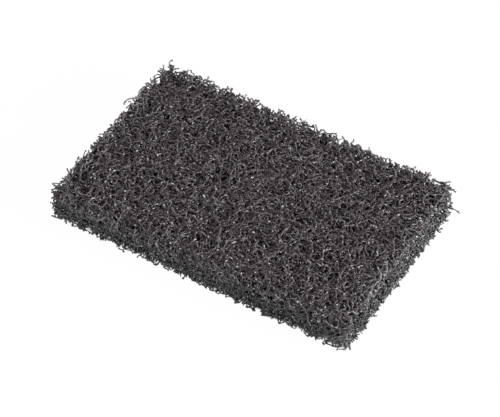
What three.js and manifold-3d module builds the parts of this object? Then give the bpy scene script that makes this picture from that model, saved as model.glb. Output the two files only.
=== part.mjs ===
// Griddle pad: a rectangular block cut from a thick, springy, black scouring web.
//
// The web is crimped fibre, tangled and bonded by abrasive resin into one mass, so the pad is
// one closed body. Its skin is a network of strands round open pores of uneven depth, with
// stray loops of fibre standing off the cut sides. The real web is about three times finer:
// here each pore stands for a small group of real ones.
//
// Millimetres, +Z up. The origin is the centre of the underside, on the surface that the pad
// rests on. X runs along the length and Y across the width.

import * as THREE from "three";
import { mergeVertices } from "three/addons/utils/BufferGeometryUtils.js";
import Module from "manifold-3d";

// The block, cut from the web.
const blockLength = 138.8;
const blockWidth = 87;
const blockThickness = 17.6;
const frontEdgeRadius = 8.5; // of the upper edge along the front, which is the softest
const backEdgeRadius = 1.5; // of the upper edge along the back
const lowerEdgeRadius = 1.5;

// The open pores in its skin.
const porePitch = 5.4;
const shallowestPore = 2.6;
const deepestPore = 4.8;
const mattedShare = 0.06; // of the pores, closed over by resin
const mattedPatchRadius = 7; // in the middle of both large faces, where every pore is closed
const strandUnevenness = 1.4; // how far a strand of the top or of a side may lie below the skin
const strandWander = 0.85; // how far a strand may stray along the skin from its regular place

// The stray loops of fibre.
const fibreRadius = 0.4;
const strayReach = 1; // from the block's face to the outside of a loop
const rootBelowPores = 0.6; // how far below the deepest pore a loop's two ends are set
const shortestSpan = 2.6;
const longestSpan = 5.2;
const strayPitch = 15; // between neighbouring loops
const loopSteps = 8;
const fibreSides = 4;

const webColour = 0x2b292a;
const weldDistance = 1e-3;

const axes = ["x", "y", "z"];
const block = new THREE.Box3(
  new THREE.Vector3(-blockLength / 2, -blockWidth / 2, 0),
  new THREE.Vector3(blockLength / 2, blockWidth / 2, blockThickness),
);
const blockSize = block.getSize(new THREE.Vector3());
const blockCentre = block.getCenter(new THREE.Vector3());

// Half-pore steps along a side of the block: an even number, so that both ends are strands.
function stepsAlong(side) {
  return 2 * Math.max(1, Math.round(side / porePitch));
}
const steps = new THREE.Vector3(...blockSize.toArray().map(stepsAlong));

// A repeatable number from 0 to 1 for a place in the web. The last of the key's whole numbers
// picks one of several for the same place. The constants are those of a common integer mixer.
function scatter(...key) {
  let mixed = 0x9e3779b9;
  for (const n of key) {
    mixed = Math.imul(mixed ^ (n + 1), 0x85ebca6b);
    mixed = Math.imul(mixed ^ (mixed >>> 13), 0xc2b2ae35);
    mixed ^= mixed >>> 16;
  }
  return (mixed >>> 0) / 2 ** 32;
}

// A scattered number between two limits.
function between(low, high, ...key) {
  return THREE.MathUtils.lerp(low, high, scatter(...key));
}

// Where a point of the sharp block is on the grid of strands and pores. A point with odd steps
// along both axes of its face is the bottom of a pore, and every other point is on a strand.
function gridPlace(sharp) {
  const at = sharp.clone().sub(block.min).divide(blockSize).multiply(steps).round();
  const along = axes.filter((a) => at[a] !== 0 && at[a] !== steps[a]);
  const isPore = along.length === 2 && along.every((a) => at[a] % 2 === 1);
  const toEdge = along.map((a) => Math.min(sharp[a] - block.min[a], block.max[a] - sharp[a]));
  return { at, isPore, room: Math.min(...toEdge) };
}

// The radius that the block's edges have near a point: it grows upwards, and towards the front.
function edgeRadius(sharp) {
  const forward = (block.max.y - sharp.y) / blockWidth;
  const upper = THREE.MathUtils.lerp(backEdgeRadius, frontEdgeRadius, forward ** 2);
  return THREE.MathUtils.lerp(lowerEdgeRadius, upper, sharp.z / blockThickness);
}

// The point of the rounded block for a point of the sharp one, and the skin's normal there.
function roundedSkin(sharp) {
  const radius = edgeRadius(sharp);
  const core = block.clone().expandByScalar(-radius);
  core.min.z = block.min.z + lowerEdgeRadius;
  const inner = core.clampPoint(sharp, new THREE.Vector3());
  const normal = sharp.clone().sub(inner).normalize();
  return { place: inner.addScaledVector(normal, radius), normal };
}

// How open the web is at a point: not at all on the closed patches in the middle of the large
// faces, and fully from a pore's pitch beyond their rims.
function opennessOf(sharp, at) {
  const isLargeFace = at.z === 0 || at.z === steps.z;
  const beyondRim = Math.hypot(sharp.x, sharp.y) - mattedPatchRadius;
  return isLargeFace ? THREE.MathUtils.clamp(beyondRim / porePitch, 0, 1) : 1;
}

// How far a point of the web lies below the skin. A pore near an edge of the block is shallow,
// so that it doesn't meet the pores round the corner.
function sinkOf(sharp) {
  const { at, isPore, room } = gridPlace(sharp);
  let sink = at.z === 0 ? 0 : strandUnevenness * scatter(...at, 4) ** 2;
  if (isPore && scatter(...at, 5) > mattedShare) {
    sink = Math.min(between(shallowestPore, deepestPore, ...at, 6), 0.6 * room);
  }
  return sink * opennessOf(sharp, at);
}

// Moves one point of the sharp block to its place in the web.
function webPoint(sharp) {
  const { at } = gridPlace(sharp);
  const { place, normal } = roundedSkin(sharp);
  const wander = new THREE.Vector3(
    ...[1, 2, 3].map((salt) => between(-strandWander, strandWander, ...at, salt)),
  );
  place.add(wander.projectOnPlane(normal));
  place.addScaledVector(normal, -sinkOf(sharp));
  return block.clampPoint(place, place);
}

// Turns the crease of each square of the grid so that it runs down into the square's pore.
function creaseToPores(geometry) {
  const position = geometry.getAttribute("position");
  const point = new THREE.Vector3();
  const isPore = (n) => gridPlace(point.fromBufferAttribute(position, n)).isPore;
  const corners = geometry.index.array;
  for (let n = 0; n < corners.length; n += 6) {
    const [a, b, d, , c] = corners.slice(n, n + 5);
    if (isPore(a) || isPore(c)) corners.set([a, b, c, a, c, d], n);
  }
}

// A geometry of welded points alone.
function welded(geometry) {
  geometry.deleteAttribute("normal");
  geometry.deleteAttribute("uv");
  return mergeVertices(geometry, weldDistance);
}

// The block of web with its strands and pores.
function webBlock() {
  const geometry = new THREE.BoxGeometry(...blockSize, ...steps);
  geometry.translate(...blockCentre);
  creaseToPores(geometry);
  const position = geometry.getAttribute("position");
  const point = new THREE.Vector3();
  for (let n = 0; n < position.count; n += 1) {
    position.setXYZ(n, ...webPoint(point.fromBufferAttribute(position, n)));
  }
  return welded(geometry);
}

// The cross-section of a fibre.
function fibreSection() {
  const circle = new THREE.EllipseCurve(0, 0, fibreRadius, fibreRadius);
  return new THREE.Shape(circle.getPoints(fibreSides).slice(0, fibreSides));
}

// One stray loop: it leaves the block at a root, arches over the face and goes back in.
function strayLoop(foot, outward, along, span) {
  const apex = strayReach - fibreRadius;
  const root = deepestPore + rootBelowPores;
  const shape = [
    [-0.5, -root],
    [-0.4, apex / 2],
    [0, apex],
    [0.4, apex / 2],
    [0.5, -root],
  ];
  const points = shape.map(([share, height]) =>
    foot.clone().addScaledVector(along, share * span).addScaledVector(outward, height),
  );
  const extrudePath = new THREE.CatmullRomCurve3(points, false, "catmullrom", 0.3);
  const settings = { steps: loopSteps, bevelEnabled: false, extrudePath };
  return welded(new THREE.ExtrudeGeometry(fibreSection(), settings));
}

// The loops of one cut side. Its corners, where the block is rounded, carry none.
function sideLoops(outward, across, side) {
  const run = Math.abs(blockSize.dot(across)) - 2 * (frontEdgeRadius + backEdgeRadius);
  const count = Math.max(2, Math.round(run / strayPitch));
  return Array.from({ length: count }, (_, n) => {
    const foot = blockCentre.clone();
    foot.addScaledVector(outward, Math.abs(blockSize.dot(outward)) / 2);
    foot.addScaledVector(across, ((n + 0.5) / count - 0.5) * run);
    foot.z = between(0.35, 0.7, side, n, 0, 8) * blockThickness;
    const lean = new THREE.Vector3(0, 0, between(-1, 1, side, n, 0, 9));
    const along = lean.add(across).normalize();
    return strayLoop(foot, outward, along, between(shortestSpan, longestSpan, side, n, 0, 7));
  });
}

const xAxis = new THREE.Vector3(1, 0, 0);
const yAxis = new THREE.Vector3(0, 1, 0);
const strayLoops = [
  sideLoops(xAxis, yAxis, 0),
  sideLoops(xAxis.clone().negate(), yAxis, 1),
  sideLoops(yAxis, xAxis, 2),
  sideLoops(yAxis.clone().negate(), xAxis, 3),
].flat();

const wasm = await Module();
wasm.setup();

// The closed body of a geometry.
function bodyOf(geometry) {
  return new wasm.Manifold(
    new wasm.Mesh({
      numProp: 3,
      vertProperties: geometry.getAttribute("position").array,
      triVerts: new Uint32Array(geometry.index.array),
    }),
  );
}

const bonded = strayLoops
  .reduce((body, loop) => body.add(bodyOf(loop)), bodyOf(webBlock()))
  .getMesh();
const webGeometry = new THREE.BufferGeometry()
  .setAttribute("position", new THREE.BufferAttribute(bonded.vertProperties, 3))
  .setIndex(new THREE.BufferAttribute(bonded.triVerts, 1));
webGeometry.computeVertexNormals();

const fibreWeb = new THREE.Mesh(
  webGeometry,
  new THREE.MeshStandardMaterial({
    color: webColour,
    roughness: 0.7,
    metalness: 0,
    flatShading: true,
  }),
);
fibreWeb.name = "fibre_web";

const griddlePad = new THREE.Group();
griddlePad.add(fibreWeb);

export default griddlePad;
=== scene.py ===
import math
from collections import namedtuple

import bmesh
import bpy
import numpy as np
from mathutils import Matrix, Vector


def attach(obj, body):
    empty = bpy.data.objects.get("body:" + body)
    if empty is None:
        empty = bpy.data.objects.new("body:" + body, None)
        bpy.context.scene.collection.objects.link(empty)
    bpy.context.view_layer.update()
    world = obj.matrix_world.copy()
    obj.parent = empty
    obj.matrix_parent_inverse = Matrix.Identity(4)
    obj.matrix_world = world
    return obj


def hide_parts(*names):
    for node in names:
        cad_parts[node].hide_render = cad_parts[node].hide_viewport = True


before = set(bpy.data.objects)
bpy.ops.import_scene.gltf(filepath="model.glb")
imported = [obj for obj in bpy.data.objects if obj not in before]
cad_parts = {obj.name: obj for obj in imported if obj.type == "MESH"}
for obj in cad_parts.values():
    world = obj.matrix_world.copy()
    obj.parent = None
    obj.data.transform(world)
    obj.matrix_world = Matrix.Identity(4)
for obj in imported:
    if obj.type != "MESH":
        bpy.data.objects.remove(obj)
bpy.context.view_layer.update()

# Sizes in millimetres, as in the CAD model, unless a comment says metres. MM makes them metres.
MM = 0.001
LENGTH = 138.8
WIDTH = 87.0
THICKNESS = 17.6
FRONT_EDGE = 8.5
BACK_EDGE = 1.5
LOWER_EDGE = 1.5
END_EDGE = 2.5
HALF = np.array([LENGTH / 2, WIDTH / 2, THICKNESS / 2])

# The camera, from a fit to the photograph.
AZIMUTH = math.radians(32.0)
ELEVATION = math.radians(47.25)
ROLL = math.radians(-0.49)
DISTANCE = 1008.7
TARGET = (-2.96, 2.65, 0.2)
FOCAL_PIXELS = 2477.3
FRAME_PIXELS = 500
SENSOR = 36.0
CLIP_METRES = (0.01, 20.0)


def set_camera():
    azimuth_cos, azimuth_sin = math.cos(AZIMUTH), math.sin(AZIMUTH)
    level = math.cos(ELEVATION)
    back = Vector((azimuth_sin * level, -azimuth_cos * level, math.sin(ELEVATION)))
    right = Vector((azimuth_cos, azimuth_sin, 0.0))
    up = back.cross(right)
    tilted_right = right * math.cos(ROLL) + up * math.sin(ROLL)
    tilted_up = up * math.cos(ROLL) - right * math.sin(ROLL)
    data = bpy.data.cameras.new("photo_camera")
    data.sensor_width = SENSOR
    data.lens = FOCAL_PIXELS / FRAME_PIXELS * SENSOR
    data.clip_start, data.clip_end = CLIP_METRES
    camera = bpy.data.objects.new("photo_camera", data)
    bpy.context.collection.objects.link(camera)
    place = (Vector(TARGET) + back * DISTANCE) * MM
    turn = Matrix((tilted_right, tilted_up, back)).transposed()
    camera.matrix_world = Matrix.Translation(place) @ turn.to_4x4()
    bpy.context.scene.camera = camera


class Value:
    """A shader socket that Python's own sums and products add Math nodes to."""

    def __init__(self, shader, socket):
        self.shader = shader
        self.socket = socket

    def __add__(self, other):
        return self.shader.maths("ADD", self, other)

    def __radd__(self, other):
        return self.shader.maths("ADD", other, self)

    def __sub__(self, other):
        return self.shader.maths("SUBTRACT", self, other)

    def __rsub__(self, other):
        return self.shader.maths("SUBTRACT", other, self)

    def __mul__(self, other):
        return self.shader.maths("MULTIPLY", self, other)

    def __rmul__(self, other):
        return self.shader.maths("MULTIPLY", other, self)


class Shader:
    """The nodes of one material, or of the room."""

    def __init__(self, owner):
        owner.use_nodes = True
        self.tree = owner.node_tree
        self.tree.nodes.clear()

    def add(self, kind, settings=None, inputs=None):
        node = self.tree.nodes.new(kind)
        for name, setting in (settings or {}).items():
            if name == "stops":
                self.set_stops(node.color_ramp, setting)
            else:
                setattr(node, name, setting)
        for name, given in (inputs or {}).items():
            if isinstance(given, Value):
                self.tree.links.new(given.socket, node.inputs[name])
            else:
                node.inputs[name].default_value = given
        return {socket.name: Value(self, socket) for socket in node.outputs if socket.enabled}

    def set_stops(self, ramp, stops):
        while len(ramp.elements) < len(stops):
            ramp.elements.new(0.5)
        for element, (place, shade) in zip(ramp.elements, stops):
            element.position = place
            element.color = (shade, shade, shade, 1.0)

    def maths(self, operation, first, second=0.0):
        return self.add("ShaderNodeMath", {"operation": operation}, {0: first, 1: second})["Value"]

    # Goes from the first level to the second while a value goes from one limit to the other.
    def faded(self, value, limits, levels=(0.0, 1.0)):
        names = ("From Min", "From Max", "To Min", "To Max")
        inputs = {"Value": value, **dict(zip(names, (*limits, *levels)))}
        return self.add("ShaderNodeMapRange", {"clamp": True}, inputs)["Result"]

    # Mixes two colours. In a node that mixes colours, those are its sockets 6 and 7.
    def coloured(self, share, first, second, **settings):
        settings = {"data_type": "RGBA", **settings}
        return self.add("ShaderNodeMix", settings, {0: share, 6: first, 7: second})["Result"]

    # Mixes two shaders, or backgrounds.
    def layered(self, share, first, second):
        return self.add("ShaderNodeMixShader", {}, {0: share, 1: first, 2: second})["Shader"]

    # 1 for what is looked at, straight or in a shine, and 0 for the light that falls on things.
    def looked_at(self):
        path = self.add("ShaderNodeLightPath")
        kinds = path["Is Camera Ray"] + path["Is Glossy Ray"] + path["Is Transmission Ray"]
        return self.maths("MINIMUM", kinds, 1.0)


WHITE = (1.0, 1.0, 1.0, 1.0)
ROOM_LIGHT = 0.5

# The name, place in metres, width in metres and watts of each lamp. All face the pad.
LAMPS = (
    ("right_softbox", (1.2, 0.2, 0.45), 0.35, 23.0),
    ("front_softbox", (0.1, -1.3, 0.7), 0.4, 8.0),
)


def set_room():
    bpy.context.scene.view_settings.view_transform = "Standard"
    world = bpy.data.worlds.new("soft_room")
    bpy.context.scene.world = world
    shader = Shader(world)
    light = shader.add("ShaderNodeBackground", {}, {"Color": WHITE, "Strength": ROOM_LIGHT})
    white = shader.add("ShaderNodeBackground", {}, {"Color": WHITE, "Strength": 1.0})
    room = shader.layered(shader.looked_at(), light["Background"], white["Background"])
    shader.add("ShaderNodeOutputWorld", {}, {"Surface": room})
    for name, place, size, watts in LAMPS:
        data = bpy.data.lights.new(name, "AREA")
        data.shape = "DISK"
        data.size = size
        data.energy = watts
        lamp = bpy.data.objects.new(name, data)
        lamp.location = place
        lamp.rotation_euler = (-Vector(place)).to_track_quat("-Z", "Y").to_euler()
        bpy.context.collection.objects.link(lamp)


# The floor, 6 metres each way, is plain paper under the pad, and round it nearly as white as the
# room. It changes from one to the other between two places, measured outwards from the block.
FLOOR_HALF = 6.0
PAPER = (0.85, 0.85, 0.85, 1.0)
PAPER_ENDS = -4.5
WHITE_STARTS = -1.2
FLOOR_GLOW = 0.985


def paper_material():
    material = bpy.data.materials.new("white_paper")
    shader = Shader(material)
    place = shader.add("ShaderNodeTexCoord")["Object"]
    apart = shader.add("ShaderNodeSeparateXYZ", {}, {"Vector": place})
    past_end, past_side = (
        shader.maths("ABSOLUTE", apart[axis]) - half * MM for axis, half in zip("XY", HALF)
    )
    outwards = shader.maths("MAXIMUM", past_end, past_side)
    open_floor = shader.faded(outwards, (PAPER_ENDS * MM, WHITE_STARTS * MM), (0.0, FLOOR_GLOW))
    paper = shader.add("ShaderNodeBsdfDiffuse", {}, {"Color": PAPER})
    glow = shader.add("ShaderNodeEmission", {}, {"Color": WHITE, "Strength": 1.0})
    surface = shader.layered(shader.looked_at() * open_floor, paper["BSDF"], glow["Emission"])
    shader.add("ShaderNodeOutputMaterial", {}, {"Surface": surface})
    return material


def make_floor():
    bm = bmesh.new()
    bmesh.ops.create_grid(bm, x_segments=1, y_segments=1, size=FLOOR_HALF)
    mesh = bpy.data.meshes.new("floor")
    bm.to_mesh(mesh)
    bm.free()
    floor = bpy.data.objects.new("floor", mesh)
    bpy.context.collection.objects.link(floor)
    mesh.materials.append(paper_material())


NOT_ZERO = 1e-9


def unit(vectors):
    return vectors / np.maximum(np.linalg.norm(vectors, axis=1, keepdims=True), NOT_ZERO)


# Rounds the edge where two skins meet at a right angle: the share that each one has in the way
# out, and the depth below both, from the depth below each.
def rounded_depth(depths, edge):
    past = np.maximum(edge - depths, 0.0)
    length = np.linalg.norm(past, axis=0)
    nearest = (depths == depths.min(axis=0)).astype(float)
    shares = np.where(length > 0.0, past, nearest)
    shares /= np.linalg.norm(shares, axis=0)
    return shares, edge - length - np.minimum(edge - depths.min(axis=0), 0.0)


# Which way is out of the rounded block at each point, and how far the point is below its skin.
def skin_at(points):
    along, across, height = points.T
    forward = np.clip(0.5 - across / WIDTH, 0.0, 1.0)
    upper = BACK_EDGE + (FRONT_EDGE - BACK_EDGE) * forward**2
    edge = LOWER_EDGE + (upper - LOWER_EDGE) * np.clip(height / THICKNESS, 0.0, 1.0)
    upward = height - HALF[2]
    under_side = HALF[1] - np.abs(across)
    under_face = HALF[2] - np.abs(upward)
    (side_share, face_share), below = rounded_depth(np.stack([under_side, under_face]), edge)
    under_end = HALF[0] - np.abs(along)
    (end_share, section_share), depth = rounded_depth(np.stack([under_end, below]), END_EDGE)
    out = [
        end_share * np.sign(along),
        section_share * side_share * np.sign(across),
        section_share * face_share * np.sign(upward),
    ]
    return np.stack(out, axis=1), depth


# Fewer fibres start near the back, left and right edges, where the web is loose. That fades
# within a reach, which the back and the right side shorten by their tightness.
LOOSE_REACH = 10.0
BACK_TIGHTNESS = 1.25
RIGHT_TIGHTNESS = 1.5

# Painted highlight: fibres are painted paler where two sides meet, standing in for the light that
# the edges catch, and this fades within another reach. Along the front the palest line is a crest
# on its side, below the top, and the edge itself counts as set back.
EDGE_LIGHT = 0.85
LIGHT_REACH = 8.0
CREST_DEPTH = 4.6
CREST_REACH = 5.0
FRONT_SET_BACK = 3.0


# How near a point is to where two sides meet, from its distances to all: up to 1 right there.
def edge_nearness(distances, reach):
    near = np.clip(1.0 - np.stack(distances) / reach, 0.0, 1.0)
    return np.sort(near, axis=0)[-2]


# How far each point is from the left, right, back, front and top of the sharp block.
def side_distances(points):
    along, across, height = points.T
    return HALF[0] + along, HALF[0] - along, HALF[1] - across, HALF[1] + across, THICKNESS - height


def looseness_at(points):
    left, right, back, _, top = side_distances(points)
    tight = [left, RIGHT_TIGHTNESS * right, BACK_TIGHTNESS * back, top]
    return edge_nearness(tight, LOOSE_REACH)


# Painted highlight: how much paler the fibres are painted near the edges and along the front crest.
def painted_edge_light_at(points):
    left, right, back, front, top = side_distances(points)
    edges = edge_nearness((left, right, back, front + FRONT_SET_BACK, top), LIGHT_REACH)
    crest = np.clip(1.0 - np.hypot(front, top - CREST_DEPTH) / CREST_REACH, 0.0, 1.0)
    return 1.0 + EDGE_LIGHT * np.maximum(edges, crest)


# One layer of the web. A fibre has at most so many links, each of the length link, and keeps
# between the depths shallow and deep. Curl is its tightest bend's radius and wave the length of
# one crimp. Flatness lays it along the large faces, fray is how far it may be from the shallow
# depth where it turns back or is cut, and thin and thick are the limits of its radius.
Layer = namedtuple("Layer", "name count links link shallow deep curl wave flatness fray thin thick")
OUTER = (1370, 30, 0.48, 0.35, 2.0, 0.6, 3.5, 0.15, 1.0, 0.235, 0.345)
LAYERS = (
    Layer("outer_fibres_a", *OUTER),
    Layer("outer_fibres_b", *OUTER),
    Layer("outer_fibres_c", *OUTER),
    Layer("outer_fibres_d", *OUTER),
    Layer("middle_fibres", 1900, 12, 1.2, 1.3, 3.0, 1.3, 6.0, 0.4, 0.3, 0.32, 0.44),
    Layer("inner_fibres", 1550, 9, 2.6, 3.0, 5.2, 6.0, 18.0, 0.5, 0.0, 0.85, 1.05),
)

# Starting points are spread evenly, by steps along each axis that are powers of one ratio: the
# root of x**4 = x + 1. By the large faces only a share of them is kept, and by the underside
# only a share of that.
EVEN_RATIO = 1.2207440846
TRIES_PER_FIBRE = 4
FACE_SHARE = 0.42
UNDERSIDE_SHARE = 0.6

# How far the axis of a fibre's bends turns at each link, how the lengths of its crimps vary,
# from fibre to fibre and along it, and how firmly it is turned back at a large face.
AXIS_DRIFT = 0.35
WAVE_SPREAD = (0.7, 1.4)
PACE_SPREAD = (0.6, 1.4)
TURN_FORCE = 1.0

# A few fibres stand further off the large faces, by so many times their layer's fray.
STRAY_SHARE = 0.03
STRAY_REACH = (0.5, 1.8)

# The skin is a cut side where the square of its normal's upward share is under the slope. The
# fibres end there, at these depths below the shallow one in shares of the fray, and each side
# cuts some of them deeper.
CUT_SLOPE = 0.5
CUT_DEPTHS = (-1.4, 0.4)
SIDE_FRAY = (1.2, 1.2, 0.7, 0.8)  # of the left, right, back and front sides
FEWEST_POINTS = 3

# Single fibres that stand off the far, right and left corners.
SINGLE_STRAYS = (
    (
        (-66.0, 41.0, 15.5),
        (-66.6, 41.4, 17.0),
        (-66.9, 41.9, 18.3),
        (-66.6, 42.6, 18.9),
        (-65.8, 43.0, 19.1),
    ),
    (
        (68.0, 42.6, 3.0),
        (69.6, 43.0, 3.2),
        (70.6, 42.6, 3.3),
        (71.3, 43.0, 2.6),
        (72.2, 42.8, 2.4),
    ),
    (
        (-65.5, -39.5, 16.5),
        (-67.4, -39.2, 17.3),
        (-68.6, -39.8, 17.5),
        (-69.6, -40.6, 17.2),
    ),
)


def scattered_starts(rng, layer):
    found = np.empty((0, 3))
    first = rng.uniform(0.0, 1.0, 3)
    step = EVEN_RATIO ** -np.arange(1.0, 4.0)
    tried = 0
    while len(found) < layer.count:
        order = np.arange(tried, tried + layer.count * TRIES_PER_FIBRE)[:, None]
        tried += len(order)
        points = ((first + order * step) % 1.0 * 2.0 - 1.0) * HALF + np.array([0.0, 0.0, HALF[2]])
        out, depth = skin_at(points)
        face = np.where(out[:, 2] < 0.0, UNDERSIDE_SHARE, 1.0) * FACE_SHARE
        share = 1.0 + (face - 1.0) * out[:, 2] ** 2
        share *= 1.0 - looseness_at(points)
        kept = rng.random(len(points)) < share
        kept &= (depth > layer.shallow) & (depth < layer.deep)
        found = np.vstack([found, points[kept]])
    return found[: layer.count]


# Crimped fibres that wander between two depths. Each waves to and fro about its way, on an axis
# that slowly turns. It turns back at the large faces, and ends where a side was cut.
def crimped_courses(rng, layer):
    count, link = layer.count, layer.link
    place = scattered_starts(rng, layer)
    limit = layer.shallow - layer.fray * rng.uniform(-1.0, 1.0, count)
    stray = rng.random(count) < STRAY_SHARE
    limit -= layer.fray * np.where(stray, rng.uniform(*STRAY_REACH, count), 0.0)
    nearest_side = np.argmin(side_distances(place)[:4], axis=0)
    deeper = np.array(SIDE_FRAY)[nearest_side] * rng.uniform(0.0, 1.0, count)
    cut = layer.shallow + layer.fray * (rng.uniform(*CUT_DEPTHS, count) + deeper)
    heading = unit(rng.normal(size=(count, 3)))
    axis = unit(rng.normal(size=(count, 3)))
    phase = rng.uniform(0.0, 2.0 * math.pi, (count, 1))
    pace = 2.0 * math.pi * link / (layer.wave * rng.uniform(*WAVE_SPREAD, (count, 1)))
    course = [place]
    lengths = np.ones(count, int)
    growing = np.ones(count, bool)
    for _ in range(layer.links):
        axis = unit(axis + AXIS_DRIFT * rng.normal(size=(count, 3)))
        phase = phase + pace * rng.uniform(*PACE_SPREAD, (count, 1))
        bend = axis * np.sin(phase) / layer.curl
        heading = unit(heading + link * np.cross(bend, heading))
        out, depth = skin_at(place + link * heading)
        level = out[:, 2] ** 2
        outward = np.einsum("ij,ij->i", heading, out)
        astray = (depth - np.clip(depth, limit, layer.deep)) / link
        astray *= np.where(astray < 0.0, level, 1.0)
        turn = TURN_FORCE * astray - layer.flatness * level * outward
        heading = unit(heading + out * turn[:, None])
        place = place + link * heading
        course.append(place)
        lengths += growing
        growing &= (skin_at(place)[1] > cut) | (level > CUT_SLOPE)
    course = np.stack(course, axis=1)
    return [points[:n] for points, n in zip(course, lengths) if n >= FEWEST_POINTS]


SIDES = 3
WELD_DISTANCE = 1e-4


# The section that all fibres share. Its radius is 1, and each fibre scales it by its own.
def fibre_section():
    curve = bpy.data.curves.new("fibre_section", "CURVE")
    spline = curve.splines.new("POLY")
    spline.points.add(SIDES - 1)
    for n, point in enumerate(spline.points):
        turn = -2.0 * math.pi * n / SIDES
        point.co = (math.cos(turn), math.sin(turn), 0.0, 1.0)
    spline.use_cyclic_u = True
    section = bpy.data.objects.new("fibre_section", curve)
    bpy.context.collection.objects.link(section)
    return section


# Makes one piece of many courses, each as a closed tube.
def fibre_piece(name, courses, radii, tones):
    section = fibre_section()
    curve = bpy.data.curves.new(name, "CURVE")
    curve.dimensions = "3D"
    curve.bevel_mode = "OBJECT"
    curve.bevel_object = section
    curve.use_fill_caps = True
    for course, radius in zip(courses, radii):
        spline = curve.splines.new("POLY")
        spline.points.add(len(course) - 1)
        homogeneous = np.concatenate([course * MM, np.ones((len(course), 1))], axis=1)
        spline.points.foreach_set("co", homogeneous.ravel())
        spline.points.foreach_set("radius", radius * MM)
    drawn = bpy.data.objects.new(name, curve)
    bpy.context.collection.objects.link(drawn)
    graph = bpy.context.evaluated_depsgraph_get()
    mesh = bpy.data.meshes.new_from_object(drawn.evaluated_get(graph))
    bpy.data.objects.remove(drawn)
    bpy.data.objects.remove(section)
    lay_out_strips(mesh, [len(course) for course in courses], tones)
    bm = bmesh.new()
    bm.from_mesh(mesh)
    bmesh.ops.remove_doubles(bm, verts=bm.verts, dist=WELD_DISTANCE * MM)
    bm.to_mesh(mesh)
    bm.free()
    mesh.name = name
    piece = bpy.data.objects.new(name, mesh)
    bpy.context.collection.objects.link(piece)
    return piece


# Each fibre has a strip of its own in the map that the materials are baked to, with a margin
# round it in shares of the strip.
UV_COLUMNS = 8
COLUMN_MARGIN = 0.02
ROW_MARGIN = 0.05


# Lays out the map, and gives every corner of a face its tone times the painted edge highlight.
# The mesh has each tube's two end faces first, from the last tube to the first, and then the
# tubes' sides, four corners a face.
def lay_out_strips(mesh, lengths, tones):
    count = len(lengths)
    rows = math.ceil(count / UV_COLUMNS)
    ends = np.repeat(np.arange(count)[::-1], 2 * SIDES)
    sides = np.repeat(np.arange(count), 4 * SIDES * (np.array(lengths) - 1))
    fibre = np.concatenate([ends, sides])
    strips = mesh.uv_layers[0]
    strips.name = "OFBake"
    uv = np.empty(len(mesh.loops) * 2)
    strips.data.foreach_get("uv", uv)
    uv = uv.reshape(-1, 2)
    margin = np.array([COLUMN_MARGIN, ROW_MARGIN])
    uv = margin + (1.0 - 2.0 * margin) * uv
    uv[:, 0] = (fibre % UV_COLUMNS + uv[:, 0]) / UV_COLUMNS
    uv[:, 1] = (fibre // UV_COLUMNS + uv[:, 1]) / rows
    strips.data.foreach_set("uv", uv.ravel())
    places = np.empty(len(mesh.vertices) * 3)
    mesh.vertices.foreach_get("co", places)
    corners = np.empty(len(mesh.loops), int)
    mesh.loops.foreach_get("vertex_index", corners)
    # Each corner's tone is scaled up by the painted edge highlight.
    painted_edge_light = painted_edge_light_at(places.reshape(-1, 3)[corners] / MM)
    tone = mesh.attributes.new("strand_tone", "FLOAT", "CORNER")
    tone.data.foreach_set("value", tones[fibre] * painted_edge_light)


# Black fibre coated with resin. Its shade follows small lumps, from one stop to the next, and
# wider patches scale it. Low on the sides the resin is matted, and its shade more even. The top
# has a slight warm tint, which fades downwards and at the right end.
PATCH_SCALE = 240.0
PATCH_LIMITS = (0.3, 0.7)
PATCH_LEVELS = (0.8, 1.25)
LUMP_SCALE = 900.0
RESIN_SHADES = ((0.36, 0.023), (0.5, 0.048), (0.6, 0.087), (0.7, 0.13))
MATTED_SHADE = 0.062
MATTED_SHARE = 0.6
MATTED_HEIGHTS = (8.0, 16.0)
TOP_TINT = (0.0155, -0.0078, 0.0048)
TINT_HEIGHTS = (4.5, 16.0)
TINT_ALONG = (HALF[0] + 1.0, HALF[0] - 2.0)

# Grains of dull grit stand a little off the resin, and a few pale specks are painted glints:
# a painted highlight. Each stop is a share of the grains: all of them up to the first, and none
# from the second.
GRIT = (0.22, 0.22, 0.22, 1.0)
GRIT_SCALE = 1900.0
GRIT_STOPS = ((0.14, 1.0), (0.22, 0.0))
PAINTED_GLINT = (0.5, 0.5, 0.5, 1.0)
PAINTED_GLINT_SCALE = 1500.0
PAINTED_GLINT_STOPS = ((0.11, 1.0), (0.14, 0.0))
ROUGHNESS = 0.75
GRIT_SHINE = 0.25
RELIEF = 0.2
RELIEF_STRENGTH = 0.25


def grains(shader, place, scale):
    return shader.add("ShaderNodeTexVoronoi", {}, {"Vector": place, "Scale": scale})


def some_of(shader, cells, stops):
    return shader.add("ShaderNodeValToRGB", {"stops": stops}, {"Fac": cells["Color"]})["Color"]


def scaled(limits):
    return [limit * MM for limit in limits]


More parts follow.
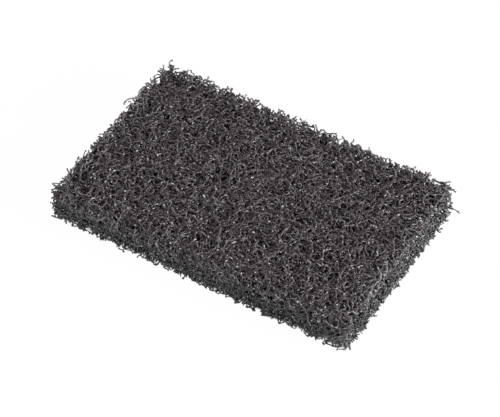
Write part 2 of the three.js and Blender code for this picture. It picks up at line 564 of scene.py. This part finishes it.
# The strength is 1 for fibres in full light, and less for those of the deeper layers, which the
# few fibres of the scene shade less than those of a real web would.
def web_material(name, strength):
    material = bpy.data.materials.new(name)
    shader = Shader(material)
    place = shader.add("ShaderNodeTexCoord")["Object"]
    apart = shader.add("ShaderNodeSeparateXYZ", {}, {"Vector": place})
    patches = shader.add(
        "ShaderNodeTexNoise",
        {},
        {"Vector": place, "Scale": PATCH_SCALE, "Detail": 2.0, "Roughness": 0.55},
    )
    wide = shader.faded(patches["Fac"], PATCH_LIMITS, PATCH_LEVELS)
    lumps = shader.add(
        "ShaderNodeTexNoise",
        {},
        {"Vector": place, "Scale": LUMP_SCALE, "Detail": 1.0, "Roughness": 0.6},
    )
    stops = [(at, strength * shade) for at, shade in RESIN_SHADES]
    lumpy = shader.add("ShaderNodeValToRGB", {"stops": stops}, {"Fac": lumps["Fac"]})["Color"]
    matted = shader.faded(apart["Z"], scaled(MATTED_HEIGHTS), (MATTED_SHARE, 0.0))
    shade = shader.coloured(matted, lumpy, (*(strength * MATTED_SHADE,) * 3, 1.0))
    # The fibre's own tone, times the painted highlight near the edges.
    tone_and_edge_light = shader.add("ShaderNodeAttribute", {"attribute_name": "strand_tone"})["Fac"]
    toned = shader.add(
        "ShaderNodeVectorMath", {"operation": "SCALE"}, {"Vector": shade, "Scale": tone_and_edge_light * wide}
    )["Vector"]
    raised = shader.faded(apart["Z"], scaled(TINT_HEIGHTS))
    inland = shader.faded(apart["X"], scaled(TINT_ALONG))
    tint = (*(strength * part for part in TOP_TINT), 1.0)
    tinted = shader.coloured(raised * inland, toned, tint, blend_type="ADD", clamp_result=True)
    grit = grains(shader, place, GRIT_SCALE)
    speck = some_of(shader, grit, GRIT_STOPS)
    # Painted highlight: a few pale specks painted into the colour as glints.
    painted_glint = some_of(shader, grains(shader, place, PAINTED_GLINT_SCALE), PAINTED_GLINT_STOPS)
    colour = shader.coloured(painted_glint, shader.coloured(speck, tinted, GRIT), PAINTED_GLINT)
    relief = shader.add(
        "ShaderNodeBump",
        {},
        {"Strength": RELIEF_STRENGTH, "Distance": RELIEF * MM, "Height": grit["Distance"]},
    )["Normal"]
    skin = shader.add(
        "ShaderNodeBsdfPrincipled",
        {},
        {"Base Color": colour, "Roughness": ROUGHNESS - GRIT_SHINE * speck, "Normal": relief},
    )
    shader.add("ShaderNodeOutputMaterial", {}, {"Surface": skin["BSDF"]})
    return material


# A fibre's radius varies along it, and it is thicker where drops of resin have dried: in knots
# and at one end.
SEED = 6057
GIRTH_SPREAD = (0.8, 1.15)
KNOT_SHARE = 0.16
KNOT_SWELL = 1.8
END_SWELL = 1.5
TONE_SPREAD = 0.25

# The name and strength of the material of each kind of layer. A strength under 1 is painted shade
# on the deeper layers.
MATERIALS = {
    "outer": ("black_abrasive_web", 1.0),
    "middle": ("shaded_web", 0.65),
    "inner": ("dark_web", 0.34),
}


def fibre_radii(rng, layer, count):
    radius = rng.uniform(layer.thin, layer.thick) * rng.uniform(*GIRTH_SPREAD, count)
    radius *= np.where(rng.random(count) < KNOT_SHARE, KNOT_SWELL, 1.0)
    radius[-1] *= END_SWELL
    return radius


def dress_pad():
    rng = np.random.default_rng(SEED)
    materials = {kind: web_material(*settings) for kind, settings in MATERIALS.items()}
    for layer in LAYERS:
        courses = crimped_courses(rng, layer)
        if layer == LAYERS[0]:
            courses += [np.array(stray) for stray in SINGLE_STRAYS]
        radii = [fibre_radii(rng, layer, len(course)) for course in courses]
        for course, radius in zip(courses, radii):
            course[:, 2] = np.maximum(course[:, 2], radius)
        tones = np.exp(TONE_SPREAD * rng.normal(size=len(courses)))
        piece = fibre_piece(layer.name, courses, radii, tones)
        piece.data.materials.clear()
        piece.data.materials.append(materials[layer.name.split("_")[0]])
        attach(piece, "root")
        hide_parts("fibre_web")


set_camera()
set_room()
make_floor()
dress_pad()
